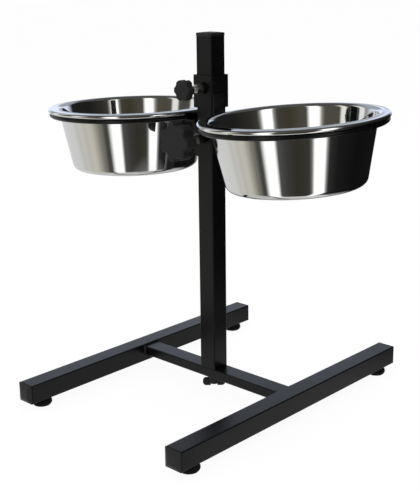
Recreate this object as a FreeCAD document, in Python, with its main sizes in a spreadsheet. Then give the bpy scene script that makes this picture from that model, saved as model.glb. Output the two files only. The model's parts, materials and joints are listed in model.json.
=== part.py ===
import FreeCAD, Part
import math
import os
import re
import Sketcher

# Bowl stand: H-shaped base of square tube, one column, two clamped ring holders and two bowls.
# Millimetres. X runs along the cross bar, Y along the legs to the rear, Z up from the floor.
# The origin is on the floor below the column. The clamp knobs face the front, -Y.

SIZES = {
    # base frame
    "leg_side": 25, "leg_length": 416, "leg_spacing": 266, "tube_wall": 1.5, "edge_round": 1.5,
    "bar_width": 25, "bar_height": 13, "bar_drop": 2.5, "weld_leg": 2,
    # end caps
    "cap_flange": 2, "cap_crown": 3, "cap_slope_angle": 70, "cap_plug_length": 12, "cap_fit": 0.1,
    # feet and their screws
    "foot_height": 10, "foot_radius": 13, "foot_inset": 23, "foot_top_radius": 11.5, "foot_round": 1.8,
    "foot_shoulder": 3, "foot_hole": 2.6, "foot_recess": 6, "foot_recess_depth": 5,
    "screw_radius": 2.4, "screw_head": 4.5, "screw_head_height": 2.5, "screw_bite": 9,
    # column and its fixing
    "column_side": 25, "column_length": 430, "plug_length": 18, "plug_fit": 0.1,
    "base_screw_radius": 4, "thread_fit": 0.1, "end_gap": 0.5, "washer_radius": 9, "washer_thickness": 1.5,
    "hub_radius": 8, "hub_height": 12, "wing_span": 30, "wing_width": 7.5, "wing_height": 9.3,
    "wing_drop": 2.6, "wing_round": 3.2, "wing_turn_angle": 43, "wing_notch": 7,
    # sleeves and clamps
    "sleeve_fit": 0.5, "sleeve_wall": 2.5, "sleeve_height": 40, "sleeve_round": 1.5, "axis_rise": 24.5,
    "lower_axis": 340.5, "sleeve_gap": 20.5, "boss_radius": 7.5, "boss_length": 4,
    "upper_nut_flats": 10, "upper_nut_length": 8, "upper_stud_radius": 3,
    "lower_nut_flats": 13, "lower_nut_length": 6.5, "lower_stud_radius": 4,
    # star knobs
    "upper_knob_radius": 12.8, "upper_knob_depth": 10, "upper_knob_lobes": 6, "upper_scallop": 6,
    "upper_scallop_depth": 1.7, "upper_hub_radius": 7, "upper_hub_length": 5, "upper_lobe_round": 1.5,
    "upper_knob_gap": 9.7, "upper_turn_angle": 30,
    "lower_knob_radius": 24.2, "lower_knob_depth": 15.5, "lower_knob_lobes": 7, "lower_scallop": 6.5,
    "lower_scallop_depth": 4.5, "lower_hub_radius": 11, "lower_hub_length": 6, "lower_lobe_round": 2.5,
    "lower_knob_gap": 20, "lower_turn_angle": 25,
    "front_share": 0.8, "knob_cover": 4,
    # ring holders
    "bracket_width": 20, "bracket_forward": 4, "bracket_thickness": 3, "bracket_leg": 34, "bracket_lip": 4,
    "bracket_bend": 2.5, "right_seat_drop": 15.1, "left_seat_rise": 4.1, "weld_gap": 0.1,
    "ring_wire": 6, "ring_inset": 1.9, "bracket_arm": 12.7, "ring_forward": 7,
    "right_rise_angle": 3, "right_pitch_angle": 2, "left_rise_angle": 1.2, "left_pitch_angle": 0.2,
    # bowls
    "rim_radius": 111.5, "bead": 5.2, "bead_rise": 0.3, "seat_gap": 0.2, "sheet": 0.8,
    "flange_width": 11.7, "bowl_height": 82, "wall_taper": 16, "bowl_corner": 9, "bowl_shoulder": 4,
}

doc = FreeCAD.newDocument("BowlStand")
sheet = doc.addObject("Spreadsheet::Sheet", "Sizes")
for row, (alias, value) in enumerate(SIZES.items(), 1):
    sheet.set(f"A{row}", alias)
    sheet.set(f"B{row}", str(value))
    sheet.setAlias(f"B{row}", alias)
doc.recompute()

nodes = {}

# Heights and widths that several pieces share, as expressions of the sheet's sizes
leg_middle = "(foot_height + leg_side / 2)"
bar_top = "(foot_height + leg_side - bar_drop)"
bar_bottom = f"({bar_top} - bar_height)"
column_top = f"({bar_top} + column_length)"
sleeve_inner = "(column_side + 2 * sleeve_fit)"
sleeve_half = "(column_side / 2 + sleeve_fit + sleeve_wall)"
nut_start = f"({sleeve_half} + boss_length)"
axis_height = {"lower": "lower_axis", "upper": "(lower_axis + sleeve_height + sleeve_gap)"}
sleeve_base = {name: f"({height} - axis_rise)" for name, height in axis_height.items()}
bead_radius = "(rim_radius - bead / 2)"
mouth_radius = f"({bead_radius} - flange_width)"
bowl_foot = f"({mouth_radius} + sheet - wall_taper)"
ring_radius = f"({bead_radius} - ring_inset)"
ring_reach = f"({sleeve_half} + bracket_arm + {ring_radius})"


def bound(text):
    """An expression whose size names are read from the sheet."""
    return re.sub(r"[a-z][a-z_]*", lambda hit: "Sizes." + hit[0] if hit[0] in SIZES else hit[0], str(text))


def number(text):
    value = sheet.evalExpression(bound(text))
    return float(getattr(value, "Value", value))


def tie(thing, **properties):
    for name, text in properties.items():
        thing.setExpression(name, bound(text))


def place(thing, x=0, y=0, z=0, axis=None, angle=0):
    """Put a piece at a point of the stand, turned about an axis by an angle in degrees."""
    if axis:
        thing.Placement.Rotation = FreeCAD.Rotation(FreeCAD.Vector(*axis), number(angle))
        thing.setExpression("Placement.Rotation.Angle", bound(angle) + " * 1 deg")
    for name, text in zip("xyz", (x, y, z)):
        thing.setExpression(f"Placement.Base.{name}", bound(text))


def new_body(label):
    body = doc.addObject("PartDesign::Body", label)
    body.Label = label
    return body


def keep(label, thing):
    thing.Label = label
    nodes[label] = thing
    return thing


def new_sketch(body, role, offset=0):
    plane = next(item for item in body.Origin.OriginFeatures if item.Role == role)
    sketch = body.newObject("Sketcher::SketchObject", "Sketch")
    sketch.AttachmentSupport = (plane, "")
    sketch.MapMode = "FlatFace"
    sketch.setExpression("AttachmentOffset.Base.z", bound(offset))
    return sketch


def fix_point(sketch, geometry, point, x, y):
    """Hold one point of a sketch at the coordinates that two expressions give."""
    for kind, line, text in (("DistanceX", -2, x), ("DistanceY", -1, y)):
        if str(text) == "0":
            sketch.addConstraint(Sketcher.Constraint("PointOnObject", geometry, point, line))
        else:
            row = sketch.addConstraint(Sketcher.Constraint(kind, -1, 1, geometry, point, number(text)))
            sketch.setExpression(f"Constraints[{row}]", bound(text))


def draw_polygon(sketch, corners):
    points = [FreeCAD.Vector(number(x), number(y), 0) for x, y in corners]
    first = len(sketch.Geometry)
    count = len(points)
    for i in range(count):
        sketch.addGeometry(Part.LineSegment(points[i], points[(i + 1) % count]), False)
    for i in range(count):
        following = first + (i + 1) % count
        sketch.addConstraint(Sketcher.Constraint("Coincident", first + i, 2, following, 1))
    for i, (x, y) in enumerate(corners):
        fix_point(sketch, first + i, 1, x, y)


def draw_rectangle(sketch, width, height):
    half_w, half_h = f"({width}) / 2", f"({height}) / 2"
    draw_polygon(sketch, [(f"-{half_w}", f"-{half_h}"), (half_w, f"-{half_h}"),
                          (half_w, half_h), (f"-{half_w}", half_h)])


def draw_circle(sketch, radius, x=0, y=0):
    middle = FreeCAD.Vector(number(x), number(y), 0)
    circle = sketch.addGeometry(Part.Circle(middle, FreeCAD.Vector(0, 0, 1), number(radius)), False)
    if str(x) == "0" and str(y) == "0":
        sketch.addConstraint(Sketcher.Constraint("Coincident", circle, 3, -1, 1))
    else:
        fix_point(sketch, circle, 3, x, y)
    row = sketch.addConstraint(Sketcher.Constraint("Radius", circle, number(radius)))
    sketch.setExpression(f"Constraints[{row}]", bound(radius))


def add_feature(body, kind, sketch=None, **properties):
    feature = body.newObject("PartDesign::" + kind, kind)
    if sketch:
        feature.Profile = sketch
    tie(feature, **properties)
    body.Tip = feature
    return feature


def pad(body, sketch, length, reverse=False):
    feature = add_feature(body, "Pad", sketch, Length=length)
    feature.Reversed = reverse
    return feature


def pocket(body, sketch, length, reverse=False):
    feature = add_feature(body, "Pocket", sketch, Length=length)
    feature.Reversed = reverse
    return feature


def revolve(body, sketch):
    feature = add_feature(body, "Revolution", sketch)
    feature.ReferenceAxis = (sketch, ["V_Axis"])
    feature.Angle = 360
    return feature


def round_edges(body, radius, wanted):
    """Fillet those edges of the body's last feature that a test picks out."""
    doc.recompute()
    last = body.Tip
    names = [f"Edge{i}" for i, edge in enumerate(last.Shape.Edges, 1) if wanted(edge)]
    feature = body.newObject("PartDesign::Fillet", "Fillet")
    feature.Base = (last, names)
    tie(feature, Radius=radius)
    body.Tip = feature


def along_z(edge):
    ends = [vertex.Point for vertex in edge.Vertexes]
    return len(ends) == 2 and abs(abs(ends[1].z - ends[0].z) - edge.Length) < 1e-6


def outer_corner(half_x, half_y):
    """A test for the long edges at the outer corners of a tube."""
    def wanted(edge):
        middle = edge.CenterOfMass
        return (along_z(edge) and abs(abs(middle.x) - number(half_x)) < 1e-3
                and abs(abs(middle.y) - number(half_y)) < 1e-3)
    return wanted


def circle_at(radius, height):
    """A test for the round edge of a turned piece at a radius and a height."""
    def wanted(edge):
        curve = edge.Curve
        return (isinstance(curve, Part.Circle) and abs(curve.Radius - number(radius)) < 1e-3
                and abs(curve.Center.z - number(height)) < 1e-3)
    return wanted


def make_tube(label, width, depth, length):
    """Rectangular tube along the body's own Z, with rounded long edges."""
    body = new_body(label)
    section = new_sketch(body, "XY_Plane")
    draw_rectangle(section, width, depth)
    draw_rectangle(section, f"{width} - 2 * tube_wall", f"{depth} - 2 * tube_wall")
    pad(body, section, length)
    round_edges(body, "edge_round", outer_corner(f"{width} / 2", f"{depth} / 2"))
    return keep(label, body)


def make_leg(label, side):
    leg = make_tube(label, "leg_side", "leg_side", "leg_length")
    holes = new_sketch(leg, "XZ_Plane")
    draw_circle(holes, "foot_hole", 0, "foot_inset")
    draw_circle(holes, "foot_hole", 0, "leg_length - foot_inset")
    pocket(leg, holes, "leg_side")
    place(leg, f"{side} * leg_spacing / 2", "-leg_length / 2", leg_middle, (1, 0, 0), "-90")


def make_cross_bar():
    bar = make_tube("cross_bar", "bar_height", "bar_width", "leg_spacing - leg_side")
    hole = new_sketch(bar, "YZ_Plane", "bar_height")
    draw_circle(hole, "base_screw_radius + thread_fit", 0, "(leg_spacing - leg_side) / 2")
    pocket(bar, hole, "2 * bar_height")
    place(bar, "-(leg_spacing - leg_side) / 2", 0, f"{bar_top} - bar_height / 2", (0, 1, 0), "90")


def make_welds():
    """A weld bead round each end of the cross bar, widest at the leg."""
    beads = []
    for sign in (-1, 1):
        bead = new_body("weld")
        outline = new_sketch(bead, "XY_Plane")
        draw_rectangle(outline, "bar_height + 2 * weld_leg", "bar_width + 2 * weld_leg")
        slope = pad(bead, outline, "weld_leg")
        slope.TaperAngle = -45
        opening = new_sketch(bead, "XY_Plane")
        draw_rectangle(opening, "bar_height", "bar_width")
        pocket(bead, opening, "weld_leg", reverse=True)
        place(bead, f"{sign} * (leg_spacing - leg_side) / 2", 0, f"{bar_top} - bar_height / 2",
              (0, 1, 0), f"{-sign} * 90")
        beads.append(bead)
    group = doc.addObject("Part::Compound", "frame_welds")
    group.Links = beads
    keep("frame_welds", group)


def make_cap(label, tube_side, x, y, z, axis, angle):
    """Push-in cap: a plug in the tube, a square flange on its end and a low pointed crown."""
    cap = new_body(label)
    plug = new_sketch(cap, "XY_Plane")
    plug_side = f"{tube_side} - 2 * tube_wall - 2 * cap_fit"
    draw_rectangle(plug, plug_side, plug_side)
    pad(cap, plug, "cap_plug_length", reverse=True)
    flange = new_sketch(cap, "XY_Plane")
    draw_rectangle(flange, tube_side, tube_side)
    pad(cap, flange, "cap_flange")
    crown = new_sketch(cap, "XY_Plane", "cap_flange")
    draw_rectangle(crown, tube_side, tube_side)
    slope = pad(cap, crown, "cap_crown")
    slope.setExpression("TaperAngle", bound("-cap_slope_angle") + " * 1 deg")
    place(keep(label, cap), x, y, z, axis, angle)


def make_foot(label, x, y):
    """Round foot with a recess below for the head of its screw. Its top is at the body's own zero."""
    foot = new_body(label)
    profile = new_sketch(foot, "XZ_Plane")
    draw_polygon(profile, [
        ("foot_hole", "0"), ("foot_top_radius", "0"), ("foot_radius", "-foot_shoulder"),
        ("foot_radius", "foot_shoulder - foot_height"), ("foot_top_radius", "-foot_height"),
        ("foot_recess", "-foot_height"), ("foot_recess", "foot_recess_depth - foot_height"),
        ("foot_hole", "foot_recess_depth - foot_height")])
    revolve(foot, profile)
    for height in ("-foot_shoulder", "foot_shoulder - foot_height"):
        round_edges(foot, "foot_round", circle_at("foot_radius", height))
    place(keep(label, foot), x, y, "foot_height")


def turned_part(kind, radius, height, x, y, z, axis=None, angle=0):
    """A plain cylinder at a place of the stand."""
    part = doc.addObject("Part::" + kind, kind)
    tie(part, Radius=radius, Height=height)
    place(part, x, y, z, axis, angle)
    return part


def join(kind, base, tool):
    part = doc.addObject("Part::" + kind, kind)
    part.Base = base
    part.Tool = tool
    return part


def make_foot_screws(places):
    """One pan-head screw in each foot."""
    screws = []
    head_base = "foot_recess_depth - screw_head_height"
    for x, y in places:
        head = turned_part("Cylinder", "screw_head", "screw_head_height", x, y, head_base)
        shank = turned_part("Cylinder", "screw_radius", "screw_bite", x, y, "foot_recess_depth")
        screws.append(join("Fuse", head, shank))
    group = doc.addObject("Part::Compound", "foot_screws")
    group.Links = screws
    keep("foot_screws", group)


def make_column():
    column = make_tube("column", "column_side", "column_side", "column_length")
    place(column, 0, 0, bar_top)
    plug = new_body("column_plug")
    section = new_sketch(plug, "XY_Plane")
    side = "column_side - 2 * tube_wall - 2 * plug_fit"
    draw_rectangle(section, side, side)
    draw_circle(section, "base_screw_radius + thread_fit")
    pad(plug, section, "plug_length")
    place(keep("column_plug", plug), 0, 0, bar_top)


def make_base_knob():
    """Winged knob, its washer and its screw below the column. The hub's top is the body's own zero."""
    hub_top = f"({bar_bottom} - washer_thickness)"
    knob = new_body("base_wing_knob")
    hub = new_sketch(knob, "XY_Plane")
    draw_circle(hub, "hub_radius")
    pad(knob, hub, "hub_height", reverse=True)
    wings = new_sketch(knob, "XY_Plane", "wing_height - hub_height - wing_drop")
    draw_rectangle(wings, "wing_span", "wing_width")
    pad(knob, wings, "wing_height", reverse=True)
    half_span, half_width = "wing_span / 2", "wing_width / 2"
    round_edges(knob, "wing_round", outer_corner(half_span, half_width))
    notch = new_sketch(knob, "XY_Plane", "-hub_height - wing_drop")
    draw_circle(notch, "wing_notch")
    pocket(knob, notch, "wing_drop", reverse=True)
    bore = new_sketch(knob, "XY_Plane")
    draw_circle(bore, "base_screw_radius + thread_fit")
    pocket(knob, bore, "hub_height - knob_cover")
    place(keep("base_wing_knob", knob), 0, 0, hub_top, (0, 0, 1), "wing_turn_angle")

    screw_length = "hub_height - knob_cover + washer_thickness + bar_height + plug_length - end_gap"
    screw = turned_part("Cylinder", "base_screw_radius", screw_length, 0, 0,
                        f"{hub_top} - hub_height + knob_cover")
    keep("base_screw", screw)
    disc = turned_part("Cylinder", "washer_radius", "washer_thickness", 0, 0, hub_top)
    hole = turned_part("Cylinder", "base_screw_radius + thread_fit", "washer_thickness", 0, 0, hub_top)
    keep("base_washer", join("Cut", disc, hole))


def make_sleeve(name):
    """Square sleeve with a round boss for the clamp nut on its front wall."""
    sleeve = new_body(f"{name}_sleeve")
    section = new_sketch(sleeve, "XY_Plane")
    outer = f"2 * {sleeve_half}"
    draw_rectangle(section, outer, outer)
    draw_rectangle(section, sleeve_inner, sleeve_inner)
    pad(sleeve, section, "sleeve_height")
    round_edges(sleeve, "sleeve_round", outer_corner(sleeve_half, sleeve_half))
    boss = new_sketch(sleeve, "XZ_Plane", f"{sleeve_inner} / 2 + sleeve_wall / 2")
    draw_circle(boss, "boss_radius", 0, "axis_rise")
    pad(sleeve, boss, "boss_length + sleeve_wall / 2")
    hole = new_sketch(sleeve, "XZ_Plane", nut_start)
    draw_circle(hole, f"{name}_stud_radius + thread_fit", 0, "axis_rise")
    pocket(sleeve, hole, "boss_length + sleeve_wall + sleeve_fit")
    place(keep(f"{name}_sleeve", sleeve), 0, 0, sleeve_base[name])


def knob_start(name):
    """How far in front of the column's middle the back of a star knob is."""
    return f"({nut_start} + {name}_nut_length + {name}_knob_gap)"


def make_clamp(name):
    """Hexagon nut on the boss and the stud whose tip presses on the column."""
    front = ((1, 0, 0), "90")
    blank = doc.addObject("Part::Prism", "Prism")
    blank.Polygon = 6
    tie(blank, Circumradius=f"{name}_nut_flats / sqrt(3)", Height=f"{name}_nut_length")
    place(blank, 0, f"-{nut_start}", axis_height[name], *front)
    thread = turned_part("Cylinder", f"{name}_stud_radius + thread_fit", f"{name}_nut_length",
                         0, f"-{nut_start}", axis_height[name], *front)
    keep(f"{name}_nut", join("Cut", blank, thread))
    stud_length = f"{knob_start(name)} + {name}_hub_length + {name}_knob_depth - knob_cover - end_gap"
    stud = turned_part("Cylinder", f"{name}_stud_radius", f"{stud_length} - column_side / 2",
                       0, "-column_side / 2", axis_height[name], *front)
    keep(f"{name}_stud", stud)


def scallop_centre(name):
    """Where a knob's first scallop is cut, turned from the knob's own X by its rest angle."""
    reach = f"({name}_knob_radius + {name}_scallop - {name}_scallop_depth)"
    turn = f"({name}_turn_angle * 1 deg)"
    return f"{reach} * cos({turn})", f"{reach} * sin({turn})"


def make_star_knob(name):
    """Turned blank with a hub and a blind bore, scalloped all round and rounded in front."""
    size = {part: f"{name}_{part}" for part in
            ("knob_radius", "knob_depth", "hub_radius", "hub_length", "scallop", "scallop_depth")}
    face = f"{name}_hub_length + {name}_knob_depth"
    bore = f"{name}_stud_radius + thread_fit"
    bottom = f"{face} - knob_cover"
    knob = new_body(f"{name}_knob")
    profile = new_sketch(knob, "XZ_Plane")
    draw_polygon(profile, [
        (bore, "0"), (size["hub_radius"], "0"), (size["hub_radius"], size["hub_length"]),
        (size["knob_radius"], size["hub_length"]), (size["knob_radius"], face), ("0", face),
        ("0", bottom), (bore, bottom)])
    revolve(knob, profile)
    cut = new_sketch(knob, "XY_Plane")
    draw_circle(cut, size["scallop"], *scallop_centre(name))
    scallop = pocket(knob, cut, face, reverse=True)
    pattern = knob.newObject("PartDesign::PolarPattern", "Pattern")
    pattern.Originals = [scallop]
    pattern.Axis = (cut, ["N_Axis"])
    pattern.Angle = 360
    tie(pattern, Occurrences=f"{name}_knob_lobes")
    knob.Tip = pattern
    round_edges(knob, f"{name}_lobe_round", lobe_edge(size["hub_radius"]))
    height = number(face)
    round_edges(knob, f"front_share * {name}_lobe_round", lambda edge: all(
        abs(vertex.Z - height) < 1e-6 for vertex in edge.Vertexes))
    place(keep(f"{name}_knob", knob), 0, f"-{knob_start(name)}", axis_height[name], (1, 0, 0), "90")


def lobe_edge(inner_radius):
    """A test for the upright edges of a knob's lobes. The seam of its turned blank lies at y = 0."""
    def wanted(edge):
        middle = edge.CenterOfMass
        outside = math.hypot(middle.x, middle.y) > number(inner_radius) + 1e-3
        return along_z(edge) and outside and abs(middle.y) > 1e-3
    return wanted


def make_ring(side, sign, seat, leg_way):
    """Bent bracket on a sleeve, the wire ring on its lip and the bowl in the ring."""
    bracket = new_body(f"{side}_bracket")
    profile = new_sketch(bracket, "XZ_Plane")
    lip_end = f"({sleeve_half} + bracket_arm + bracket_lip)"
    inner, outer = sleeve_half, f"({sleeve_half} + bracket_thickness)"
    top, under = "0", "-bracket_thickness"
    if leg_way > 0:
        corners = [(inner, under), (lip_end, under), (lip_end, top), (outer, top),
                   (outer, "bracket_leg"), (inner, "bracket_leg")]
    else:
        corners = [(inner, top), (inner, "-bracket_leg"), (outer, "-bracket_leg"), (outer, under),
                   (lip_end, under), (lip_end, top)]
    draw_polygon(profile, [(f"{sign} * {x}" if sign < 0 else x, z) for x, z in corners])
    pad(bracket, profile, "bracket_width")
    bend_z = top if leg_way > 0 else under
    round_edges(bracket, "bracket_bend", lambda edge: abs(edge.CenterOfMass.z - number(bend_z)) < 1e-3
                and abs(abs(edge.CenterOfMass.x) - number(outer)) < 1e-3)
    place(keep(f"{side}_bracket", bracket), 0, "bracket_width / 2 - bracket_forward", seat)

    rise, pitch = f"{side}_rise_angle", f"{side}_pitch_angle"
    lean_axis = (number(pitch), -number(rise), 0)
    lean = f"sqrt({pitch} ^ 2 + {rise} ^ 2)"
    height = f"{seat} + weld_gap + ring_wire / 2 + {sign} * {ring_radius} * sin({rise} * 1 deg)"
    ring = doc.addObject("Part::Torus", "Torus")
    tie(ring, Radius1=ring_radius, Radius2="ring_wire / 2")
    place(keep(f"{side}_ring", ring), f"{sign} * {ring_reach}", "-ring_forward", height, lean_axis, lean)
    bowl = make_bowl(f"{side}_bowl")
    place(bowl, f"{sign} * {ring_reach}", "-ring_forward", height, lean_axis, lean)


def make_bowl(label):
    """Drawn sheet bowl with a flat flange and a rolled rim. Zero height is the plane of its ring."""
    contact = "(bead / 2 + ring_wire / 2 + seat_gap)"
    rim_rise = f"(bead / 2 + sqrt({contact} ^ 2 - ({bead_radius} - {ring_radius}) ^ 2))"
    flange = f"({rim_rise} - bead_rise)"
    base = f"({rim_rise} - bowl_height)"
    bowl = new_body(label)
    profile = new_sketch(bowl, "XZ_Plane")
    draw_polygon(profile, [
        ("0", f"{base} + sheet"), (f"{bowl_foot} - sheet", f"{base} + sheet"),
        (mouth_radius, flange), (bead_radius, flange), (bead_radius, f"{flange} - sheet"),
        (f"{mouth_radius} + sheet", f"{flange} - sheet"), (bowl_foot, base), ("0", base)])
    revolve(bowl, profile)
    for radius, height, fillet in (
            (f"{bowl_foot} - sheet", f"{base} + sheet", "bowl_corner - sheet"),
            (bowl_foot, base, "bowl_corner"),
            (mouth_radius, flange, "bowl_shoulder + sheet"),
            (f"{mouth_radius} + sheet", f"{flange} - sheet", "bowl_shoulder")):
        round_edges(bowl, fillet, circle_at(radius, height))
    rim = new_sketch(bowl, "XZ_Plane")
    draw_circle(rim, "bead / 2", bead_radius, f"{rim_rise} - bead / 2")
    revolve(bowl, rim)
    return keep(label, bowl)


foot_places = {}
for side, sign in (("left", -1), ("right", 1)):
    make_leg(f"{side}_leg", sign)
    for end, way, angle in (("front", -1, "90"), ("rear", 1, "-90")):
        x = f"{sign} * leg_spacing / 2"
        make_cap(f"{end}_{side}_cap", "leg_side", x, f"{way} * leg_length / 2", leg_middle, (1, 0, 0), angle)
        foot_places[f"{end}_{side}_foot"] = (x, f"{way} * (leg_length / 2 - foot_inset)")
for label, (x, y) in foot_places.items():
    make_foot(label, x, y)
make_foot_screws(foot_places.values())
make_cross_bar()
make_welds()
make_column()
make_cap("column_cap", "column_side", 0, 0, column_top, None, 0)
make_base_knob()
for name in ("upper", "lower"):
    make_sleeve(name)
    make_clamp(name)
    make_star_knob(name)
make_ring("right", 1, f"({sleeve_base['upper']} - right_seat_drop)", 1)
make_ring("left", -1, f"({sleeve_base['lower']} + sleeve_height + left_seat_rise)", -1)

doc.recompute()
for item in doc.Objects:
    if {"Invalid", "Error"} & set(item.State):
        raise RuntimeError(f"{item.Label} failed: {item.State}")
for label, thing in nodes.items():
    if thing.Shape.isNull() or not thing.Shape.isValid():
        raise RuntimeError(f"{label} has no valid shape")

os.makedirs("parts", exist_ok=True)
for label, thing in nodes.items():
    thing.Shape.exportStep(f"parts/{label}.step")
    box = thing.Shape.BoundBox
    print(f"{label}: {len(thing.Shape.Solids)} solid, {thing.Shape.Volume:.0f} mm3, "
          f"x {box.XMin:.1f} to {box.XMax:.1f}, y {box.YMin:.1f} to {box.YMax:.1f}, "
          f"z {box.ZMin:.1f} to {box.ZMax:.1f}")
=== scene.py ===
import json
import math

import bmesh
import bpy
from mathutils import Matrix, Vector


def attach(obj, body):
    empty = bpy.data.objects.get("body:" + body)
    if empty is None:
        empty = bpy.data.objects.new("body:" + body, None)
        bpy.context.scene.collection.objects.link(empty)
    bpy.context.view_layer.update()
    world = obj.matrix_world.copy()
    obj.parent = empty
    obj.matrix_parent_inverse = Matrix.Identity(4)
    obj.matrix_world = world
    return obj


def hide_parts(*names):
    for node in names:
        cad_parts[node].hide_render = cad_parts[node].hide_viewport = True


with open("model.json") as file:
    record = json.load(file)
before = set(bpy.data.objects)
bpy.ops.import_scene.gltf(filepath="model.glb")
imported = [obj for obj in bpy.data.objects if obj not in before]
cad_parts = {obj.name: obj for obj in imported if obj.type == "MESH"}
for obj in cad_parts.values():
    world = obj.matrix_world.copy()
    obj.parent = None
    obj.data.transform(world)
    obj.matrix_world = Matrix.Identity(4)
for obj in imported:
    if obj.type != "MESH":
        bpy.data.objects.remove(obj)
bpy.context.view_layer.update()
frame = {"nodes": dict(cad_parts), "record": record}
cadNodes = frame["nodes"]
print("frame loaded:", len(cadNodes), "nodes")

mm = 0.001
scene = bpy.context.scene


# shader helpers

def addNode(tree, kind, inputs=None, **settings):
    node = tree.nodes.new(kind)
    for name, value in settings.items():
        setattr(node, name, value)
    for name, value in (inputs or {}).items():
        node.inputs[name].default_value = value
    return node


def newGroup(name, inputs, outputs):
    tree = bpy.data.node_groups.new(name, "ShaderNodeTree")
    for inOut, sockets in (("INPUT", inputs), ("OUTPUT", outputs)):
        for label, kind, value in sockets:
            socket = tree.interface.new_socket(name=label, in_out=inOut, socket_type=kind)
            if value is not None:
                socket.default_value = value
    return tree, tree.nodes.new("NodeGroupInput"), tree.nodes.new("NodeGroupOutput")


def makeGrainGroup():
    # fine grain for bump, and large soft patches that shift colour and gloss
    colour, number = "NodeSocketColor", "NodeSocketFloat"
    tree, given, result = newGroup(
        "surfaceGrain",
        [("Colour A", colour, (0.5, 0.5, 0.5, 1)), ("Colour B", colour, (0.5, 0.5, 0.5, 1)),
         ("Roughness Low", number, 0.4), ("Roughness High", number, 0.5),
         ("Grain Scale", number, 900.0), ("Patch Scale", number, 18.0)],
        [("Colour", colour, None), ("Roughness", number, None), ("Height", number, None)])
    link = tree.links.new
    place = addNode(tree, "ShaderNodeTexCoord")
    grain = addNode(tree, "ShaderNodeTexNoise", {"Detail": 3.0, "Roughness": 0.55})
    patch = addNode(tree, "ShaderNodeTexNoise", {"Detail": 4.0, "Roughness": 0.6})
    for noise, scaleName in ((grain, "Grain Scale"), (patch, "Patch Scale")):
        link(place.outputs["Object"], noise.inputs["Vector"])
        link(given.outputs[scaleName], noise.inputs["Scale"])
    tint = addNode(tree, "ShaderNodeMix", data_type="RGBA")
    link(patch.outputs["Fac"], tint.inputs["Factor"])
    link(given.outputs["Colour A"], tint.inputs["A"])
    link(given.outputs["Colour B"], tint.inputs["B"])
    gloss = addNode(tree, "ShaderNodeMapRange", {"From Min": 0.3, "From Max": 0.7})
    link(patch.outputs["Fac"], gloss.inputs["Value"])
    link(given.outputs["Roughness Low"], gloss.inputs["To Min"])
    link(given.outputs["Roughness High"], gloss.inputs["To Max"])
    link(tint.outputs["Result"], result.inputs["Colour"])
    link(gloss.outputs["Result"], result.inputs["Roughness"])
    link(grain.outputs["Fac"], result.inputs["Height"])
    return tree


def makeTurnedGroup():
    # rings left by turning and polishing, counted along the bowl's own profile
    number = "NodeSocketFloat"
    tree, given, result = newGroup(
        "turnedRings",
        [("Vector", "NodeSocketVector", None), ("Ring Scale", number, 500.0),
         ("Roughness Low", number, 0.05), ("Roughness High", number, 0.1)],
        [("Roughness", number, None), ("Height", number, None)])
    link = tree.links.new
    flat = addNode(tree, "ShaderNodeVectorMath", {1: (1.0, 1.0, 0.0)}, operation="MULTIPLY")
    radius = addNode(tree, "ShaderNodeVectorMath", operation="LENGTH")
    split = addNode(tree, "ShaderNodeSeparateXYZ")
    along = addNode(tree, "ShaderNodeMath", operation="ADD")
    rings = addNode(tree, "ShaderNodeTexNoise", {"Detail": 4.0, "Roughness": 0.7}, noise_dimensions="1D")
    gloss = addNode(tree, "ShaderNodeMapRange", {"From Min": 0.3, "From Max": 0.7})
    link(given.outputs["Vector"], flat.inputs[0])
    link(flat.outputs["Vector"], radius.inputs[0])
    link(given.outputs["Vector"], split.inputs["Vector"])
    link(radius.outputs["Value"], along.inputs[0])
    link(split.outputs["Z"], along.inputs[1])
    link(along.outputs["Value"], rings.inputs["W"])
    link(given.outputs["Ring Scale"], rings.inputs["Scale"])
    link(rings.outputs["Fac"], gloss.inputs["Value"])
    link(given.outputs["Roughness Low"], gloss.inputs["To Min"])
    link(given.outputs["Roughness High"], gloss.inputs["To Max"])
    link(gloss.outputs["Result"], result.inputs["Roughness"])
    link(rings.outputs["Fac"], result.inputs["Height"])
    return tree


grainGroup = makeGrainGroup()
turnedGroup = makeTurnedGroup()


def grainMaterial(name, look):
    material = bpy.data.materials.new(name)
    material.use_nodes = True
    tree = material.node_tree
    shader = tree.nodes["Principled BSDF"]
    grain = addNode(tree, "ShaderNodeGroup", node_tree=grainGroup)
    for label in ("Colour A", "Colour B", "Roughness Low", "Roughness High", "Grain Scale", "Patch Scale"):
        grain.inputs[label].default_value = look[label]
    bump = addNode(tree, "ShaderNodeBump", {"Strength": look["bump"], "Distance": look["depth"]})
    tree.links.new(grain.outputs["Colour"], shader.inputs["Base Color"])
    tree.links.new(grain.outputs["Roughness"], shader.inputs["Roughness"])
    tree.links.new(grain.outputs["Height"], bump.inputs["Height"])
    tree.links.new(bump.outputs["Normal"], shader.inputs["Normal"])
    shader.inputs["Metallic"].default_value = look.get("metallic", 0.0)
    shader.inputs["IOR"].default_value = look.get("ior", 1.5)
    return material


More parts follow.
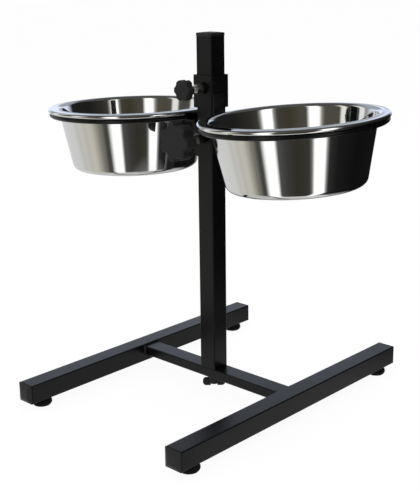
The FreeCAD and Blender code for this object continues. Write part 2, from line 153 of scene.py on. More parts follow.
finishes = {
    "black_coat": {
        "Colour A": (0.0022, 0.0022, 0.0025, 1), "Colour B": (0.0034, 0.0034, 0.0038, 1),
        "Roughness Low": 0.27, "Roughness High": 0.34, "Grain Scale": 1400.0, "Patch Scale": 16.0,
        "bump": 0.16, "depth": 0.00018, "ior": 1.33},
    "cap_plastic": {
        "Colour A": (0.005, 0.005, 0.0053, 1), "Colour B": (0.008, 0.008, 0.0083, 1),
        "Roughness Low": 0.4, "Roughness High": 0.5, "Grain Scale": 2600.0, "Patch Scale": 40.0,
        "bump": 0.12, "depth": 0.0001, "ior": 1.42},
    "knob_plastic": {
        "Colour A": (0.0075, 0.0075, 0.008, 1), "Colour B": (0.0105, 0.0105, 0.011, 1),
        "Roughness Low": 0.5, "Roughness High": 0.6, "Grain Scale": 2200.0, "Patch Scale": 60.0,
        "bump": 0.25, "depth": 0.00015, "ior": 1.36},
    "foot_rubber": {
        "Colour A": (0.003, 0.003, 0.003, 1), "Colour B": (0.006, 0.006, 0.0057, 1),
        "Roughness Low": 0.6, "Roughness High": 0.75, "Grain Scale": 1800.0, "Patch Scale": 50.0,
        "bump": 0.25, "depth": 0.00015, "ior": 1.22},
    "zinc": {
        "Colour A": (0.5, 0.54, 0.5, 1), "Colour B": (0.66, 0.7, 0.64, 1),
        "Roughness Low": 0.24, "Roughness High": 0.4, "Grain Scale": 1500.0, "Patch Scale": 260.0,
        "bump": 0.1, "depth": 0.0001, "metallic": 1.0},
    "shaded_zinc": {   # painted shade: a darker copy of the zinc for the lower nut and stud, which look dark where they sit in shadow between the knob, the ring and the bowl
        "Colour A": (0.1, 0.11, 0.1, 1), "Colour B": (0.17, 0.18, 0.165, 1),
        "Roughness Low": 0.22, "Roughness High": 0.36, "Grain Scale": 1500.0, "Patch Scale": 260.0,
        "bump": 0.1, "depth": 0.0001, "metallic": 1.0},
    "plug_steel": {
        "Colour A": (0.34, 0.34, 0.34, 1), "Colour B": (0.45, 0.45, 0.45, 1),
        "Roughness Low": 0.35, "Roughness High": 0.5, "Grain Scale": 900.0, "Patch Scale": 80.0,
        "bump": 0.15, "depth": 0.0001, "metallic": 1.0},
}
materials = {name: grainMaterial(name, look) for name, look in finishes.items()}

slots = {row["node"]: row["material_slot"] for row in frame["record"]["subparts"]}
for name, node in cadNodes.items():
    if slots[name] in materials:
        node.data.materials.clear()
        node.data.materials.append(materials[slots[name]])
print("materials:", ", ".join(materials))


# mesh helpers; pieces are drawn in millimetres and scaled when they are put in place

near = {   # millimetres within which points are merged or count as level
    "piece": 0.002, "profile": 0.01, "outline": 0.02, "blank": 0.001, "level": 0.01, "cut": 1e-5}


def pick(items, kind):
    return [item for item in items if isinstance(item, kind)]


def chain(bm, points, closed=False):
    verts = [bm.verts.new((x, 0, z)) for x, z in points]
    for first, second in zip(verts, verts[1:]):
        bm.edges.new((first, second))
    if closed:
        bm.edges.new((verts[-1], verts[0]))
    return verts


def weld(bm, distance):
    bmesh.ops.remove_doubles(bm, verts=bm.verts[:], dist=distance)


def roundCorner(bm, vert, radius, segments):
    first, second = [(edge.other_vert(vert).co - vert.co).normalized() for edge in vert.link_edges]
    tangent = radius / math.tan(first.angle(second) / 2)
    bmesh.ops.bevel(bm, geom=[vert], offset=tangent, offset_type="OFFSET", affect="VERTICES",
                    segments=segments, profile=0.5, material=-1)


def turn(bm, steps, axis=(0, 0, 1)):
    bmesh.ops.spin(bm, geom=bm.verts[:] + bm.edges[:], cent=(0, 0, 0), axis=axis, angle=math.tau,
                   steps=steps, use_merge=True)


def sweepVert(bm, vert, centre, angle, steps, axis=(0, 0, 1)):
    made = bmesh.ops.spin(bm, geom=[vert], cent=centre, axis=axis, angle=angle, steps=steps)
    return pick(made["geom_last"], bmesh.types.BMVert)[0]


def roundEdges(bm, edges, offset, segments):
    bmesh.ops.bevel(bm, geom=edges, offset=offset, offset_type="OFFSET", affect="EDGES",
                    segments=segments, profile=0.5, material=-1)


def trim(bm, point, normal):
    # cut away what lies beyond a plane and close the cut
    cut = bmesh.ops.bisect_plane(bm, geom=bm.verts[:] + bm.edges[:] + bm.faces[:], dist=near["cut"],
                                 plane_co=point, plane_no=normal, clear_outer=True)
    bmesh.ops.edgeloop_fill(bm, edges=pick(cut["geom_cut"], bmesh.types.BMEdge))


def addObject(name, bm):
    mesh = bpy.data.meshes.new(name)
    bm.to_mesh(mesh)
    bm.free()
    thing = bpy.data.objects.new(name, mesh)
    scene.collection.objects.link(thing)
    return thing


def finishPiece(name, bm, place, material, body, *replaced, sharp=32):
    weld(bm, near["piece"])
    bmesh.ops.recalc_face_normals(bm, faces=bm.faces[:])
    for face in bm.faces:
        face.smooth = True
    for edge in bm.edges:
        edge.smooth = edge.calc_face_angle(0) < math.radians(sharp)
    openEdges = sum(not edge.is_manifold for edge in bm.edges)
    bmesh.ops.transform(bm, matrix=place @ Matrix.Scale(mm, 4), verts=bm.verts[:])
    piece = addObject(name, bm)
    piece.data.materials.append(material)
    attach(piece, body)
    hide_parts(*replaced)
    print("  ", name, len(piece.data.polygons), "faces,", openEdges, "open edges")


def at(x, y, z):
    return Matrix.Translation(Vector((x, y, z)) * mm)


facingFront = Matrix.Rotation(math.radians(90), 4, "X")   # a piece's own Z then points to the front


# bowls and their rings, millimetres and degrees

bowl = {
    "rimRadius": 111.5, "bead": 5.2, "beadRise": 0.3, "sheet": 0.8, "flange": 11.7, "flangeFall": 2.0,
    "height": 82.0, "taper": 16.0, "corner": 9.0, "shoulder": 4.5,
    "steps": 180, "beadSteps": 28, "cornerSteps": 10, "shoulderSteps": 8}
ring = {"wire": 6.0, "inset": 1.9, "seatGap": 0.2, "steps": 180, "wireSteps": 28}
holders = {
    "right": {"centre": (135.2, -7.0, 370.1), "rise": 3.0, "pitch": 2.0, "carrier": "upper_carrier"},
    "left": {"centre": (-135.2, -7.0, 360.96), "rise": 1.2, "pitch": 0.2, "carrier": "lower_carrier"},
}
steel = {"colour": (0.8, 0.8, 0.785, 1), "ringScale": 420.0, "roughLow": 0.03, "roughHigh": 0.07,
         "bump": 0.05, "bumpDepth": 0.0001}


def steelMaterial(name, place):
    material = bpy.data.materials.new(name)
    material.use_nodes = True
    tree = material.node_tree
    shader = tree.nodes["Principled BSDF"]
    shader.inputs["Base Color"].default_value = steel["colour"]
    shader.inputs["Metallic"].default_value = 1.0
    coords = addNode(tree, "ShaderNodeTexCoord")
    own = addNode(tree, "ShaderNodeMapping", vector_type="TEXTURE")   # into the bowl's own upright axes
    own.inputs["Location"].default_value = place.to_translation()
    own.inputs["Rotation"].default_value = place.to_euler()
    rings = addNode(tree, "ShaderNodeGroup", node_tree=turnedGroup)
    rings.inputs["Ring Scale"].default_value = steel["ringScale"]
    rings.inputs["Roughness Low"].default_value = steel["roughLow"]
    rings.inputs["Roughness High"].default_value = steel["roughHigh"]
    bump = addNode(tree, "ShaderNodeBump", {"Strength": steel["bump"], "Distance": steel["bumpDepth"]})
    tree.links.new(coords.outputs["Object"], own.inputs["Vector"])
    tree.links.new(own.outputs["Vector"], rings.inputs["Vector"])
    tree.links.new(rings.outputs["Roughness"], shader.inputs["Roughness"])
    tree.links.new(rings.outputs["Height"], bump.inputs["Height"])
    tree.links.new(bump.outputs["Normal"], shader.inputs["Normal"])
    return material


def bowlMesh():
    bm = bmesh.new()
    sheet, beadHalf = bowl["sheet"], bowl["bead"] / 2
    beadRadius = bowl["rimRadius"] - beadHalf
    contact = beadHalf + ring["wire"] / 2 + ring["seatGap"]
    rimTop = beadHalf + math.sqrt(contact ** 2 - ring["inset"] ** 2)
    flangeTop = rimTop - bowl["beadRise"]
    base = rimTop - bowl["height"]
    mouth = beadRadius - bowl["flange"]
    foot = mouth + sheet - bowl["taper"]
    beadCentre = (beadRadius, 0, rimTop - beadHalf)
    startRise = beadHalf - bowl["beadRise"]
    endRise = startRise - sheet
    startOut, endOut = [math.sqrt(beadHalf ** 2 - rise ** 2) for rise in (startRise, endRise)]
    crest = flangeTop + bowl["flangeFall"]   # the flange falls outwards from the bowl's mouth to the bead
    mouth += bowl["flangeFall"] * bowl["taper"] / bowl["height"]
    inner = chain(bm, [(0, base + sheet), (foot - sheet, base + sheet), (mouth, crest),
                       (beadRadius - startOut, flangeTop)])
    outer = chain(bm, [(beadRadius - endOut, flangeTop - sheet), (mouth + sheet, crest - sheet),
                       (foot, base), (0, base)])
    curl = math.tau + math.atan2(startRise, -startOut) - math.atan2(endRise, -endOut)
    last = sweepVert(bm, inner[3], beadCentre, curl, bowl["beadSteps"], (0, 1, 0))
    bm.edges.new((last, outer[0]))
    roundCorner(bm, inner[1], bowl["corner"] - sheet, bowl["cornerSteps"])
    roundCorner(bm, inner[2], bowl["shoulder"] + sheet, bowl["shoulderSteps"])
    roundCorner(bm, outer[1], bowl["shoulder"], bowl["shoulderSteps"])
    roundCorner(bm, outer[2], bowl["corner"], bowl["cornerSteps"])
    weld(bm, near["profile"])
    turn(bm, bowl["steps"])
    return bm


def ringMesh():
    bm = bmesh.new()
    reach = bowl["rimRadius"] - bowl["bead"] / 2 - ring["inset"]
    bmesh.ops.create_circle(bm, segments=ring["wireSteps"], radius=ring["wire"] / 2,
                            matrix=Matrix.Translation((reach, 0, 0)) @ facingFront)
    turn(bm, ring["steps"])
    return bm


for side, holder in holders.items():
    lean = Vector((holder["pitch"], -holder["rise"], 0))
    place = at(*holder["centre"]) @ Matrix.Rotation(math.radians(lean.length), 4, lean)
    finishPiece(f"{side}Bowl", bowlMesh(), place, steelMaterial(f"{side}BowlSteel", place),
                f"{side}_bowl_body", f"{side}_bowl", sharp=50)
    finishPiece(f"{side}Ring", ringMesh(), place, materials["black_coat"], holder["carrier"], f"{side}_ring")
print("bowls and rings done")


# clamps: star knobs, threaded studs and hexagon nuts

clamps = {
    "upper": {"axis": 401.0, "platingAndShade": "zinc", "knobRadius": 12.8, "depth": 10.0, "lobes": 6, "scallop": 6.0,
              "scallopDepth": 1.7, "lobeRound": 1.5, "hubRadius": 7.0, "hubLength": 5.0, "knobStart": 37.2,
              "turn": 30.0, "studRadius": 3.0, "pitch": 1.0, "studLength": 35.2, "nutFlats": 10.0,
              "nutLength": 8.0},
    # the lower clamp's nut and stud take the zinc darkened with painted shade
    "lower": {"axis": 340.5, "platingAndShade": "shaded_zinc", "knobRadius": 24.2, "depth": 15.5, "lobes": 7,
              "scallop": 6.5, "scallopDepth": 4.5, "lobeRound": 2.5, "hubRadius": 11.0, "hubLength": 6.0,
              "knobStart": 46.0, "turn": 25.0, "studRadius": 4.0, "pitch": 1.25, "studLength": 50.5,
              "nutFlats": 13.0, "nutLength": 6.5},
}
knobShared = {"frontShare": 0.8, "frontSteps": 5, "lobeSteps": 6, "roundSteps": 5, "scallopSteps": 10,
              "hubRound": 0.8, "hubRoundSteps": 3, "hubSteps": 48, "hubSink": 1.0}
thread = {"start": 12.5, "fit": 0.1, "steps": 28, "spareTurns": 3,
          "depth": 0.54, "root": -2.0, "crestFrom": -1.56, "crestTo": -1.44, "rootEnd": -1.0}   # in pitches
nutShared = {"start": 19.5, "chamfer": 0.5, "faceShare": 0.98, "spare": 0.1, "steps": 72, "flats": 6}


def knobOutline(bm, knob):
    # one lobe and one scallop from four arcs, then repeated round the axis
    radius, scallop, corner = knob["knobRadius"], knob["scallop"], knob["lobeRound"]
    reach = radius + scallop - knob["scallopDepth"]
    pitch = math.tau / knob["lobes"]
    start = math.radians(knob["turn"])
    inner = radius - corner
    share = math.acos((inner ** 2 + reach ** 2 - (scallop + corner) ** 2) / (2 * inner * reach))

    def polar(distance, angle):
        return Vector((distance * math.cos(angle), distance * math.sin(angle), 0))

    vert = bm.verts.new(polar(radius, start + share))
    vert = sweepVert(bm, vert, (0, 0, 0), pitch - 2 * share, knobShared["lobeSteps"])
    scallopCentre = polar(reach, start + pitch)
    before, after = polar(inner, start + pitch - share), polar(inner, start + pitch + share)
    bend = before.angle(scallopCentre - before)
    hollow = (before - scallopCentre).angle(after - scallopCentre)
    vert = sweepVert(bm, vert, before, bend, knobShared["roundSteps"])
    vert = sweepVert(bm, vert, scallopCentre, -hollow, knobShared["scallopSteps"])
    sweepVert(bm, vert, after, bend, knobShared["roundSteps"])
    bmesh.ops.spin(bm, geom=bm.verts[:] + bm.edges[:], cent=(0, 0, 0), axis=(0, 0, 1), angle=math.tau,
                   steps=knob["lobes"], use_duplicate=True)
    weld(bm, near["outline"])


def knobMesh(knob):
    bm = bmesh.new()
    knobOutline(bm, knob)
    back = bmesh.ops.contextual_create(bm, geom=bm.edges[:])["faces"]
    bmesh.ops.translate(bm, verts=bm.verts[:], vec=(0, 0, knob["hubLength"]))
    made = bmesh.ops.extrude_face_region(bm, geom=back)["geom"]
    bmesh.ops.translate(bm, vec=(0, 0, knob["depth"]), verts=pick(made, bmesh.types.BMVert))
    front = pick(made, bmesh.types.BMFace)[0]
    roundEdges(bm, list(front.edges), knobShared["frontShare"] * knob["lobeRound"], knobShared["frontSteps"])
    hub = bmesh.new()
    inner, outer = knob["studRadius"] + thread["fit"], knob["hubRadius"]
    top = knob["hubLength"] + knobShared["hubSink"]
    profile = chain(hub, [(inner, 0), (outer, 0), (outer, top), (inner, top)], closed=True)
    roundCorner(hub, profile[1], knobShared["hubRound"], knobShared["hubRoundSteps"])
    turn(hub, knobShared["hubSteps"])
    joined = bpy.data.meshes.new("hub")
    hub.to_mesh(joined)
    hub.free()
    bm.from_mesh(joined)
    bpy.data.meshes.remove(joined)
    return bm


def studMesh(stud):
    # a zigzag swept round and along the axis, then cut to length
    bm = bmesh.new()
    pitch, crest, length = stud["pitch"], stud["studRadius"], stud["studLength"]
    root = crest - thread["depth"] * pitch
    chain(bm, [(root, thread["root"] * pitch), (crest, thread["crestFrom"] * pitch),
               (crest, thread["crestTo"] * pitch), (root, thread["rootEnd"] * pitch)])
    steps = thread["steps"]
    turns = math.ceil(length / pitch) + thread["spareTurns"]
    bmesh.ops.spin(bm, geom=bm.verts[:] + bm.edges[:], cent=(0, 0, 0), axis=(0, 0, 1),
                   dvec=(0, 0, pitch / steps), angle=math.tau * turns, steps=steps * turns)
    weld(bm, near["profile"])
    trim(bm, (0, 0, 0), (0, 0, -1))
    trim(bm, (0, 0, length), (0, 0, 1))
    return bm


def nutMesh(nut):
    # a turned blank with sloped ends, cut to its flats
    bm = bmesh.new()
    half, length, flats = nut["nutFlats"] / 2, nut["nutLength"], nutShared["flats"]
    blank = half / math.cos(math.pi / flats) + nutShared["spare"]
    bore = nut["studRadius"] + thread["fit"]
    face, slope = half * nutShared["faceShare"], nutShared["chamfer"]
    chain(bm, [(bore, 0), (face, 0), (blank, slope), (blank, length - slope), (face, length), (bore, length)],
          closed=True)
    turn(bm, nutShared["steps"])
    weld(bm, near["blank"])
    for i in range(flats):
        angle = math.radians(360 / flats * (i + 0.5))
        normal = Vector((math.cos(angle), math.sin(angle), 0))
        trim(bm, normal * half, normal)
    return bm


for name, clamp in clamps.items():
    # plated zinc for the upper nut and stud, zinc with painted shade for the lower ones
    platingAndShade = materials[clamp["platingAndShade"]]
    knobPlace, studPlace, nutPlace = [at(0, -start, clamp["axis"]) @ facingFront for start in
                                      (clamp["knobStart"], thread["start"], nutShared["start"])]
    finishPiece(f"{name}Knob", knobMesh(clamp), knobPlace, materials["knob_plastic"], f"{name}_clamp_knob",
                f"{name}_knob")
    finishPiece(f"{name}Stud", studMesh(clamp), studPlace, platingAndShade, f"{name}_clamp_stud", f"{name}_stud",
                sharp=70)
    finishPiece(f"{name}Nut", nutMesh(clamp), nutPlace, platingAndShade, f"{name}_carrier", f"{name}_nut", sharp=20)
print("clamps done")


# push-in caps on the column and the leg ends

cap = {"side": 25.0, "height": 5.0, "crownInset": 8.24, "edgeRound": 0.7, "edgeSteps": 4, "plugInset": 1.6,
       "plugLength": 12.0}
legEnds = {"x": 133.0, "y": 208.0, "z": 22.5, "crown": 3.0, "seam": 1.0, "seamDepth": 0.9}
columnTop = {"z": 462.5, "crown": 0.8, "seam": 0.4, "seamDepth": 0.5}
legCorners = [(end, way, side, sign) for end, way in (("front", -1), ("rear", 1))
              for side, sign in (("left", -1), ("right", 1))]


def capMesh(end):
    bm = bmesh.new()
    side, crown, seam = cap["side"], end["crown"], end["seam"]
    edge = cap["height"] - crown
    middle = Matrix.Translation((0, 0, (edge + seam) / 2))
    bmesh.ops.create_cube(bm, size=1, matrix=middle @ Matrix.Diagonal((side, side, edge - seam, 1)))
    bottom, *_, top = sorted(bm.faces, key=lambda face: face.calc_center_median().z)
    bmesh.ops.inset_individual(bm, faces=[top], thickness=cap["crownInset"], depth=crown)
    # a narrow neck that shows as a dark line on the tube's end, then the plug
    for inset, drop in ((end["seamDepth"], seam), (cap["plugInset"] - end["seamDepth"], cap["plugLength"])):
        bmesh.ops.inset_individual(bm, faces=[bottom], thickness=inset, use_even_offset=True)
        bottom = bmesh.ops.extrude_discrete_faces(bm, faces=[bottom])["faces"][0]
        bmesh.ops.translate(bm, vec=(0, 0, -drop), verts=bottom.verts[:])
        bottom.normal_update()
    upper = [item for item in bm.edges if max(vert.co.z for vert in item.verts) > edge - near["level"]]
    roundEdges(bm, upper, cap["edgeRound"], cap["edgeSteps"])
    return bm


finishPiece("columnCap", capMesh(columnTop), at(0, 0, columnTop["z"]), materials["cap_plastic"], "base",
            "column_cap", sharp=40)
for end, way, side, sign in legCorners:
    outward = Matrix.Rotation(math.radians(-90 * way), 4, "X")
    place = at(sign * legEnds["x"], way * legEnds["y"], legEnds["z"]) @ outward
    finishPiece(f"{end}{side.title()}Cap", capMesh(legEnds), place, materials["cap_plastic"], "base",
                f"{end}_{side}_cap", sharp=40)
print("caps done")


# round feet below the legs, heights counted down from the leg

foot = {"x": 133.0, "y": 185.0, "height": 10.0, "radius": 13.0, "topRadius": 10.6, "baseRadius": 10.8,
        "wideFrom": 4.6, "wideTo": 7.2, "sideRound": 3.2, "baseRound": 1.0, "roundSteps": 6, "hole": 2.6,
        "recess": 6.0, "recessDepth": 5.0, "steps": 72}


def footMesh():
    bm = bmesh.new()
    base, ledge = -foot["height"], foot["recessDepth"] - foot["height"]
    profile = chain(bm, [(foot["hole"], 0), (foot["topRadius"], 0), (foot["radius"], -foot["wideFrom"]),
                         (foot["radius"], -foot["wideTo"]), (foot["baseRadius"], base), (foot["recess"], base),
                         (foot["recess"], ledge), (foot["hole"], ledge)], closed=True)
    for corner, size in ((2, foot["sideRound"]), (3, foot["sideRound"]), (4, foot["baseRound"])):
        roundCorner(bm, profile[corner], size, foot["roundSteps"])
    turn(bm, foot["steps"])
    return bm


for end, way, side, sign in legCorners:
    place = at(sign * foot["x"], way * foot["y"], foot["height"])
    finishPiece(f"{end}{side.title()}Foot", footMesh(), place, materials["foot_rubber"], "base",
                f"{end}_{side}_foot")
print("feet done")


# winged knob below the cross bar, heights counted from the top of its hub

wingKnob = {"top": 18.0, "turn": 43.0, "hubRadius": 8.0, "hubHeight": 10.0, "hubRound": 1.5, "hubRoundSteps": 4,
            "hubSteps": 48, "bore": 4.1, "boreDepth": 8.0, "span": 30.0, "width": 7.0, "wingTop": -3.4,
            "wingBottom": -13.2, "wingStart": 4.5, "endRound": 4.6, "endSteps": 10, "edgeRound": 1.2,
            "edgeSteps": 4, "edgeAngle": 60.0, "hubClear": 0.5}


def wingKnobMesh():
    bm = bmesh.new()
    bore, hubRadius, hubBase = wingKnob["bore"], wingKnob["hubRadius"], -wingKnob["hubHeight"]
    hub = chain(bm, [(bore, 0), (hubRadius, 0), (hubRadius, hubBase), (0, hubBase)])
    hollow = chain(bm, [(0, -wingKnob["boreDepth"]), (bore, -wingKnob["boreDepth"])])
    bm.edges.new((hollow[1], hub[0]))
    roundCorner(bm, hub[2], wingKnob["hubRound"], wingKnob["hubRoundSteps"])
    turn(bm, wingKnob["hubSteps"])
    weld(bm, near["piece"])
    tip, start = wingKnob["span"] / 2, wingKnob["wingStart"]
    height = wingKnob["wingTop"] - wingKnob["wingBottom"]
    for way in (-1, 1):
        middle = Matrix.Translation((way * (tip + start) / 2, 0, wingKnob["wingTop"] - height / 2))
        size = Matrix.Diagonal((tip - start, wingKnob["width"], height, 1))
        made = bmesh.ops.create_cube(bm, size=1, matrix=middle @ size)
        ends = [vert for vert in made["verts"] if abs(vert.co.x) > tip - near["level"]]
        tipEdges = {edge for vert in ends for edge in vert.link_edges
                    if all(end in ends for end in edge.verts)}
        lying = [edge for edge in tipEdges if abs(edge.verts[0].co.z - edge.verts[1].co.z) < near["level"]]
        roundEdges(bm, lying, wingKnob["endRound"], wingKnob["endSteps"])
    rims = [edge for edge in bm.edges if edge.calc_face_angle(0) > math.radians(wingKnob["edgeAngle"])
            and max(abs(vert.co.x) for vert in edge.verts) > hubRadius + wingKnob["hubClear"]
            and min(abs(vert.co.x) for vert in edge.verts) > start - near["level"]]
    roundEdges(bm, rims, wingKnob["edgeRound"], wingKnob["edgeSteps"])
    return bm


place = at(0, 0, wingKnob["top"]) @ Matrix.Rotation(math.radians(wingKnob["turn"]), 4, "Z")
finishPiece("baseWingKnob", wingKnobMesh(), place, materials["knob_plastic"], "base_clamp_knob",
            "base_wing_knob")
print("winged knob done")


# stage: floor, a ring of reflector panels that only mirrored rays see, lamps and world

stage = {"floorSize": 30.0, "floorColour": (0.98, 0.98, 0.98, 1), "floorGlow": 0.94, "ambient": 0.8,
         "drumRadius": 1.1, "drumLow": -1.6, "drumHigh": 2.2, "drumSteps": 96, "ceilingSize": 2.42,
         "ceiling": (0.08, 0.08, 0.08, 1), "dimFrom": 1.15, "dimTo": 1.45,
         "skyFrom": 0.25, "skyTo": 0.34, "skyHalf": -0.75, "skyFull": -0.95, "sky": (0.86, 0.95, 1.16, 1),
         "highFrom": 0.5, "highTo": 0.64, "highSky": (0.385, 0.42, 0.468, 1), "greenShare": 0.2,
         "tableRadius": 0.42, "tableFade": 0.22, "table": (0.6, 0.6, 0.6, 1)}
cameraAngle = -46.94   # degrees, where the camera stands round the column
panels = [   # degrees from the camera, brightness, warmth
    (-180, 0.62, 1.03), (-150, 0.7, 1.03), (-114, 0.7, 1.0), (-104, 0.6, 0.96), (-96, 0.64, 0.92),
    (-88, 0.57, 0.9), (-80, 0.62, 0.88), (-75, 0.58, 0.86), (-70, 0.45, 0.85), (-66, 0.36, 0.83),
    (-61, 0.23, 0.82), (-57, 0.19, 0.84), (-51, 0.06, 0.9), (-46, 0.08, 1.0), (-40, 1.1, 1.0),
    (-36.5, 1.35, 1.0), (-25.5, 1.35, 1.0), (-23, 0.9, 1.0), (-20.5, 0.09, 1.03), (-8, 0.05, 0.92),
    (5, 0.036, 0.7), (22, 0.044, 0.78), (26, 0.2, 1.0), (29, 1.35, 1.0), (42, 1.35, 1.0), (45, 0.3, 1.0),
    (48, 0.03, 1.0), (60, 0.012, 1.0), (90, 0.006, 1.0), (152, 0.008, 1.0), (180, 0.62, 1.03),
]
upperPanels = [   # the same above the height of the bowls, which the insides of the bowls mirror
    (-180, 0.35, 1.0), (-128, 0.35, 1.0), (-124, 0.9, 1.0), (-115, 0.9, 1.0), (-110, 0.08, 0.85),
    (-89, 0.07, 0.8), (-85, 0.9, 0.95), (-77, 0.9, 0.95), (-73, 0.07, 0.75), (-48, 0.09, 0.75),
    (-43, 0.3, 0.9), (-39, 1.2, 1.0), (-36.5, 1.35, 1.0), (-25.5, 1.35, 1.0), (-23, 0.8, 1.0),
    (-20, 0.08, 0.85), (-8, 0.07, 0.7), (5, 0.05, 0.62), (22, 0.06, 0.75), (27, 0.3, 1.0), (29.5, 1.35, 1.0),
    (42, 1.35, 1.0), (46, 0.35, 1.0), (50, 0.05, 0.9), (62, 0.03, 0.8), (90, 0.015, 1.0), (152, 0.015, 1.0),
    (180, 0.35, 1.0),
]


def plane(name, size):
    bm = bmesh.new()
    bmesh.ops.create_grid(bm, x_segments=1, y_segments=1, size=size / 2)
    thing = addObject(name, bm)
    return thing


def mirroredOnly(thing):
    # seen in polished steel and gloss paint, but not by the camera, and it lights nothing
    for kind in ("camera", "diffuse", "shadow", "transmission", "volume_scatter"):
        setattr(thing, "visible_" + kind, False)


def bareMaterial(name):
    material = bpy.data.materials.new(name)
    material.use_nodes = True
    material.node_tree.nodes.clear()
    return material, material.node_tree, material.node_tree.links.new


def mixShaders(tree, share, first, second):
    both = addNode(tree, "ShaderNodeMixShader")
    tree.links.new(share, both.inputs["Fac"])
    tree.links.new(first.outputs[0], both.inputs[1])
    tree.links.new(second.outputs[0], both.inputs[2])
    return both


def showShader(tree, shader, kind="ShaderNodeOutputMaterial"):
    tree.links.new(shader.outputs[0], addNode(tree, kind).inputs["Surface"])


floor = plane("floor", stage["floorSize"])
floor.visible_glossy = False
floorPaint, tree, link = bareMaterial("floorPaint")
paper = addNode(tree, "ShaderNodeBsdfDiffuse", {"Color": stage["floorColour"]})
glow = addNode(tree, "ShaderNodeEmission", {"Color": (1, 1, 1, 1), "Strength": 1.0})
rays = addNode(tree, "ShaderNodeLightPath")
share = addNode(tree, "ShaderNodeMath", {1: stage["floorGlow"]}, operation="MULTIPLY")
link(rays.outputs["Is Camera Ray"], share.inputs[0])
showShader(tree, mixShaders(tree, share.outputs["Value"], paper, glow))
floor.data.materials.append(floorPaint)

bm = bmesh.new()
bmesh.ops.create_circle(bm, segments=stage["drumSteps"], radius=stage["drumRadius"],
                        matrix=Matrix.Translation((0, 0, stage["drumLow"])))
made = bmesh.ops.extrude_edge_only(bm, edges=bm.edges[:])["geom"]
bmesh.ops.translate(bm, vec=(0, 0, stage["drumHigh"] - stage["drumLow"]), verts=pick(made, bmesh.types.BMVert))
drum = addObject("reflectorPanels", bm)
mirroredOnly(drum)
panelPaint, tree, link = bareMaterial("panelPaint")
coords = addNode(tree, "ShaderNodeTexCoord")
swing = addNode(tree, "ShaderNodeMapping", {"Rotation": (0, 0, math.radians(-cameraAngle))})
split = addNode(tree, "ShaderNodeSeparateXYZ")
angle = addNode(tree, "ShaderNodeMath", operation="ARCTAN2")
turned = addNode(tree, "ShaderNodeMapRange", {"From Min": -math.pi, "From Max": math.pi})
rise = addNode(tree, "ShaderNodeMapRange", {"From Min": stage["skyFrom"], "From Max": stage["skyTo"]})
behind = addNode(tree, "ShaderNodeMapRange", {"From Min": stage["skyHalf"], "From Max": stage["skyFull"]})
high = addNode(tree, "ShaderNodeMapRange", {"From Min": stage["highFrom"], "From Max": stage["highTo"]})
dim = addNode(tree, "ShaderNodeMapRange", {"From Min": stage["dimFrom"], "From Max": stage["dimTo"]})
wall = addNode(tree, "ShaderNodeMix", data_type="RGBA")   # panels below, upper panels above
skyTone = addNode(tree, "ShaderNodeMix", {"A": stage["sky"], "B": stage["highSky"]}, data_type="RGBA")
skyShare = addNode(tree, "ShaderNodeMath", operation="MULTIPLY")
room = addNode(tree, "ShaderNodeMix", data_type="RGBA")   # the wall, with pale sky behind the stand
whole = addNode(tree, "ShaderNodeMix", {"B": stage["ceiling"]}, data_type="RGBA")   # dark towards the ceiling
glow = addNode(tree, "ShaderNodeEmission", {"Strength": 1.0})
link(coords.outputs["Object"], swing.inputs["Vector"])
link(swing.outputs["Vector"], split.inputs["Vector"])
link(split.outputs["Y"], angle.inputs[0])
link(split.outputs["X"], angle.inputs[1])
link(angle.outputs["Value"], turned.inputs["Value"])
rampMiddle, fullTurn = 0.5, 360   # new stops start in the middle and are moved to their angles
for side, tones in (("A", panels), ("B", upperPanels)):
    ramp = addNode(tree, "ShaderNodeValToRGB")
    stops = ramp.color_ramp.elements
    while len(stops) < len(tones):
        stops.new(rampMiddle)
    for stop, (degrees, bright, warm) in zip(stops, tones):
        green = 1 - stage["greenShare"] + stage["greenShare"] * warm
        stop.position = degrees / fullTurn + rampMiddle
        stop.color = (bright, bright * green, bright * warm, 1)
    link(turned.outputs["Result"], ramp.inputs["Fac"])
    link(ramp.outputs["Color"], wall.inputs[side])
for measured in (rise, high, dim):
    link(split.outputs["Z"], measured.inputs["Value"])
link(split.outputs["X"], behind.inputs["Value"])
link(rise.outputs["Result"], wall.inputs["Factor"])
link(rise.outputs["Result"], skyShare.inputs[0])
link(behind.outputs["Result"], skyShare.inputs[1])
link(high.outputs["Result"], skyTone.inputs["Factor"])
link(skyShare.outputs["Value"], room.inputs["Factor"])
link(wall.outputs["Result"], room.inputs["A"])
link(skyTone.outputs["Result"], room.inputs["B"])
link(dim.outputs["Result"], whole.inputs["Factor"])
link(room.outputs["Result"], whole.inputs["A"])
link(whole.outputs["Result"], glow.inputs["Color"])
showShader(tree, glow)
drum.data.materials.append(panelPaint)

ceiling = plane("ceiling", stage["ceilingSize"])
ceiling.location.z = stage["drumHigh"]
mirroredOnly(ceiling)
ceilingPaint, tree, link = bareMaterial("ceilingPaint")
showShader(tree, addNode(tree, "ShaderNodeEmission", {"Color": stage["ceiling"], "Strength": 1.0}))
ceiling.data.materials.append(ceilingPaint)

# the low parts of the frame mirror a pale table top that ends close round the stand
table = plane("tableTop", 2 * stage["tableRadius"])
mirroredOnly(table)
tablePaint, tree, link = bareMaterial("tablePaint")
coords = addNode(tree, "ShaderNodeTexCoord")
away = addNode(tree, "ShaderNodeVectorMath", operation="LENGTH")
fade = addNode(tree, "ShaderNodeMapRange", {"From Min": stage["tableFade"], "From Max": stage["tableRadius"],
                                            "To Min": 1.0, "To Max": 0.0})
glow = addNode(tree, "ShaderNodeEmission", {"Color": stage["table"], "Strength": 1.0})
clear = addNode(tree, "ShaderNodeBsdfTransparent")
link(coords.outputs["Object"], away.inputs[0])
link(away.outputs["Value"], fade.inputs["Value"])
showShader(tree, mixShaders(tree, fade.outputs["Result"], clear, glow))
table.data.materials.append(tablePaint)

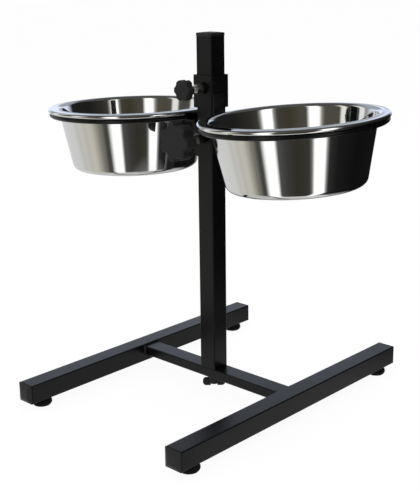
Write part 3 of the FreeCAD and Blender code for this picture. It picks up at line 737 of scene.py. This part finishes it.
world = bpy.data.worlds.new("studio")
scene.world = world
world.use_nodes = True
tree = world.node_tree
tree.nodes.clear()
link = tree.links.new
rays = addNode(tree, "ShaderNodeLightPath")
ambient = addNode(tree, "ShaderNodeBackground", {"Color": (1, 1, 1, 1), "Strength": stage["ambient"]})
white = addNode(tree, "ShaderNodeBackground", {"Color": (1, 1, 1, 1), "Strength": 1.0})
seen = addNode(tree, "ShaderNodeMath", operation="MAXIMUM")
seenToo = addNode(tree, "ShaderNodeMath", operation="MAXIMUM")
link(rays.outputs["Is Camera Ray"], seen.inputs[0])
link(rays.outputs["Is Glossy Ray"], seen.inputs[1])
link(seen.outputs["Value"], seenToo.inputs[0])
link(rays.outputs["Is Transmission Ray"], seenToo.inputs[1])
showShader(tree, mixShaders(tree, seenToo.outputs["Value"], ambient, white), "ShaderNodeOutputWorld")

lamps = {
    "overhead": {"place": (0.1, 0.1, 2.3), "aim": (0, 0, 0.2), "size": 2.0, "power": 26.0},
    "frontLeft": {"place": (-1.3, -1.9, 1.5), "aim": (0, 0, 0.25), "size": 1.2, "power": 16.0},
}
for name, lamp in lamps.items():
    data = bpy.data.lights.new(name, "AREA")
    data.size = lamp["size"]
    data.energy = lamp["power"]
    light = bpy.data.objects.new(name, data)
    scene.collection.objects.link(light)
    light.location = lamp["place"]
    light.rotation_mode = "QUATERNION"
    light.rotation_quaternion = (Vector(lamp["aim"]) - Vector(lamp["place"])).to_track_quat("-Z", "Y")
print("stage done")


# camera, where the picture was taken from

shot = {"place": (0.8336, -0.8926, 0.5379), "azimuth": 43.06, "elevation": 15.58, "roll": -0.64, "lens": 72.0,
        "shiftX": -0.0047}
azimuth, elevation, roll = [math.radians(shot[name]) for name in ("azimuth", "elevation", "roll")]
backward = Vector((math.sin(azimuth) * math.cos(elevation), -math.cos(azimuth) * math.cos(elevation),
                   math.sin(elevation)))
level = Vector((math.cos(azimuth), math.sin(azimuth), 0))
axes = Matrix((level, backward.cross(level), backward)).transposed().to_4x4()
cameraData = bpy.data.cameras.new("camera")
cameraData.lens = shot["lens"]
cameraData.shift_x = shot["shiftX"]
camera = bpy.data.objects.new("camera", cameraData)
scene.collection.objects.link(camera)
camera.matrix_world = Matrix.Translation(shot["place"]) @ axes @ Matrix.Rotation(roll, 4, "Z")
scene.camera = camera
scene.view_settings.view_transform = "Standard"
print("camera done")
